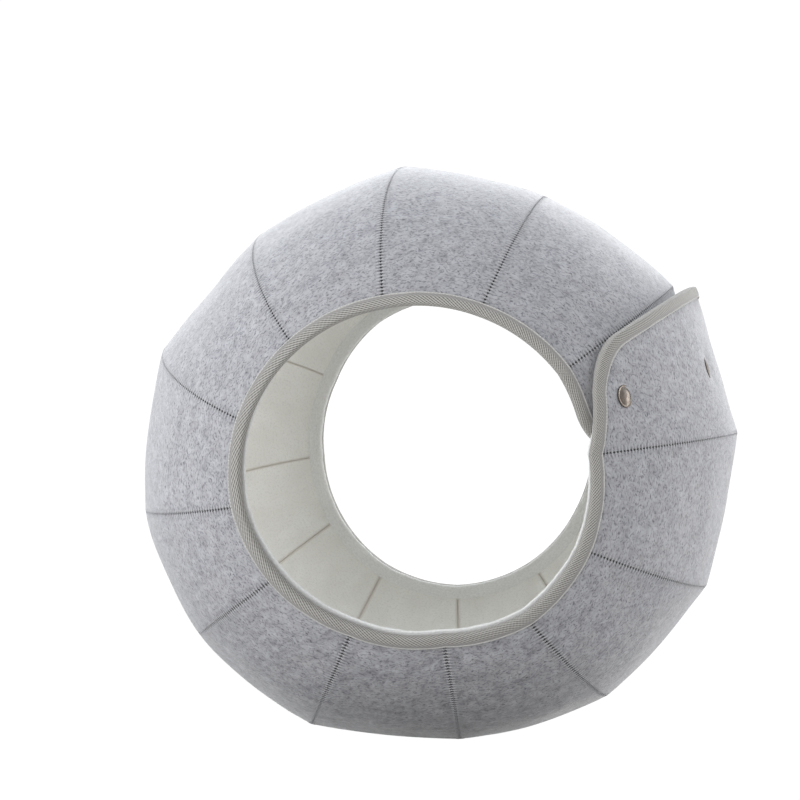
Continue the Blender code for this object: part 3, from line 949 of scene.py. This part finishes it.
def make_tape_stitches(edge, thread):
    """The straight stitch that holds the tape, along its inner edge."""
    stations = len(edge.point)
    count = int(edge.total / TAPE_STITCH)
    place = np.arange(count) * stations / count
    share = np.linspace(0.02, 0.98, len(TAPE_STITCH_HEIGHTS))
    at = (place[:, None] + share * stations / count) % stations
    low = np.floor(at).astype(int)
    rest = (at - low)[..., None]

    def pick(values):
        return values[low] * (1 - rest) + values[(low + 1) % stations] * rest

    normal = pick(edge.normal)
    height = TAPE_GAP + TAPE + TAPE_THREAD * np.array(TAPE_STITCH_HEIGHTS)
    inset = pick(edge.outward) * (TAPE_LEG - TAPE_STITCH_INSET)
    points = pick(edge.point) - inset + normal * height[:, None]
    stitches = make_tubes("binding_stitches", points, normal, TAPE_THREAD, thread, sides=5)
    return dress(stitches, "binding")


def make_seams(thread):
    """Thread bars over every line between two panels."""
    for index in range(1, PANELS):
        dress(make_seam(index, thread), "felt")


def make_snaps(metal):
    """Domed caps with a rolled rim, set in their dimples. The studs' solids take the same metal."""
    radius, height = np.array(CAP_PROFILE).T[..., None, None]
    turn = (np.arange(CAP_SIDES) * 2 * math.pi / CAP_SIDES)[:, None]
    last = (len(CAP_PROFILE) - 2) * CAP_SIDES + 1
    faces = (tube_faces(len(CAP_PROFILE) - 2, CAP_SIDES, False) + 1)[:, ::-1].tolist()
    for step in range(CAP_SIDES):
        after = (step + 1) % CAP_SIDES
        faces.append((0, 1 + step, 1 + after))
        faces.append((last, last - CAP_SIDES + after, last - CAP_SIDES + step))
    for snap in SNAPS:
        centre, normal, inward = snap_frame(snap)
        tilt = math.radians(snap.tilt_deg)
        up = normal * math.cos(tilt) + inward * math.sin(tilt)
        side = unit(np.cross(up, (0, 0, 1)))
        round_cap = side * np.cos(turn) + np.cross(up, side) * np.sin(turn)
        rings = centre - normal * (CAP_SINK + DIMPLE_DEPTH) + up * height + radius * round_cap
        points = np.concatenate((rings[:1, 0], rings[1:-1].reshape(-1, 3), rings[-1:, 0]))
        name = "snap_cap_" + snap.name
        dress(new_object("cover_" + name, points, faces, metal), "snap", name)
        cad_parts["snap_stud_" + snap.name].material_slots[0].material = metal


# ---------------------------------------------------------------- stage, camera and light

def make_camera():
    """The photo's camera, rolled about its line of sight."""
    az, el, roll = (math.radians(v) for v in (CAMERA_AZ_DEG, CAMERA_EL_DEG, CAMERA_ROLL_DEG))
    back = Vector((math.sin(az) * math.cos(el), -math.cos(az) * math.cos(el), math.sin(el)))
    right = Vector((math.cos(az), math.sin(az), 0))
    up = right.cross(-back)
    turned_right = right * math.cos(roll) + up * math.sin(roll)
    turned_up = up * math.cos(roll) - right * math.sin(roll)
    lens = bpy.data.cameras.new("camera")
    lens.sensor_width = SENSOR
    lens.lens = FOCAL
    camera = bpy.data.objects.new("camera", lens)
    place = Matrix((turned_right, turned_up, back)).transposed().to_4x4()
    place.translation = Vector(CAMERA_AIM) + back * CAMERA_DISTANCE
    camera.matrix_world = place
    bpy.context.scene.collection.objects.link(camera)
    bpy.context.scene.camera = camera


def make_stage():
    """A round white floor whose far rim curves up, and the disk on it that shades the object."""
    flat = np.linspace(0.02, FLOOR_FLAT, 12)
    turn = np.linspace(0, math.pi / 2, 14)[1:]
    radius = np.concatenate((flat, FLOOR_FLAT + FLOOR_CURVE * np.sin(turn)))[:, None]
    height = np.concatenate((0 * flat, FLOOR_CURVE * (1 - np.cos(turn))))[:, None]
    angle = np.arange(FLOOR_SIDES) * 2 * math.pi / FLOOR_SIDES
    x, y, z = np.broadcast_arrays(radius * np.cos(angle), radius * np.sin(angle), height)
    points = np.stack((x, y, z), axis=-1).reshape(-1, 3)
    faces = tube_faces(len(radius), FLOOR_SIDES, False).tolist()
    faces.append(list(range(FLOOR_SIDES - 1, -1, -1)))
    floor = new_object("stage_floor", points, faces, stage_material())
    angle = np.arange(CARD_SIDES) * 2 * math.pi / CARD_SIDES
    rim = np.stack((np.cos(angle), np.sin(angle), 0 * angle), axis=-1) * CARD_RADIUS + CARD_CENTRE
    card = new_object("shade_card", rim, [range(CARD_SIDES)], card_material())
    card.visible_camera = False


def add_lamp(lamp):
    """A disk lamp that the camera doesn't see, aimed at the object."""
    light = bpy.data.lights.new(lamp.name, "AREA")
    light.shape = "DISK"
    light.size = lamp.size
    light.energy = lamp.power
    light.color = lamp.color
    item = bpy.data.objects.new(lamp.name, light)
    item.location = lamp.place
    aim = Vector(LAMP_AIM) - Vector(lamp.place)
    item.rotation_euler = aim.to_track_quat("-Z", "Y").to_euler()
    item.visible_camera = False
    bpy.context.scene.collection.objects.link(item)


def make_light():
    """A soft sky whose strength adds up by direction, and the lamps."""
    scene = bpy.context.scene
    world = bpy.data.worlds.new("studio")
    world.use_nodes = True
    nodes, links = world.node_tree.nodes, world.node_tree.links
    sky = nodes["Background"]
    sky.inputs["Color"].default_value = SKY_COLOR
    direction = nodes.new("ShaderNodeSeparateXYZ")
    links.new(nodes.new("ShaderNodeTexCoord").outputs["Generated"], direction.inputs[0])
    total = None
    for axis, end, strength in SKY:
        share = nodes.new("ShaderNodeMapRange")
        links.new(direction.outputs[axis], share.inputs["Value"])
        share.inputs["From Max"].default_value = end
        share.inputs["To Max"].default_value = strength
        adder = nodes.new("ShaderNodeMath")
        links.new(share.outputs["Result"], adder.inputs[0])
        if total is None:
            adder.inputs[1].default_value = 0.0
        else:
            links.new(total, adder.inputs[1])
        total = adder.outputs[0]
    links.new(total, sky.inputs["Strength"])
    scene.world = world
    for lamp in LAMPS:
        add_lamp(lamp)
    scene.view_settings.view_transform = "Standard"


def main():
    make_camera()
    make_light()
    make_stage()
    felt, plush, tape, metal = felt_material(), lining_material(), tape_material(), metal_material()
    seam_thread = thread_material("thread_grey", (0.530, 0.530, 0.545, 1))
    tape_thread = thread_material("thread_beige", (0.560, 0.550, 0.530, 1))
    make_panels(felt, plush)
    make_seams(seam_thread)
    make_binding(tape, tape_thread, rim_material())
    make_snaps(metal)


main()
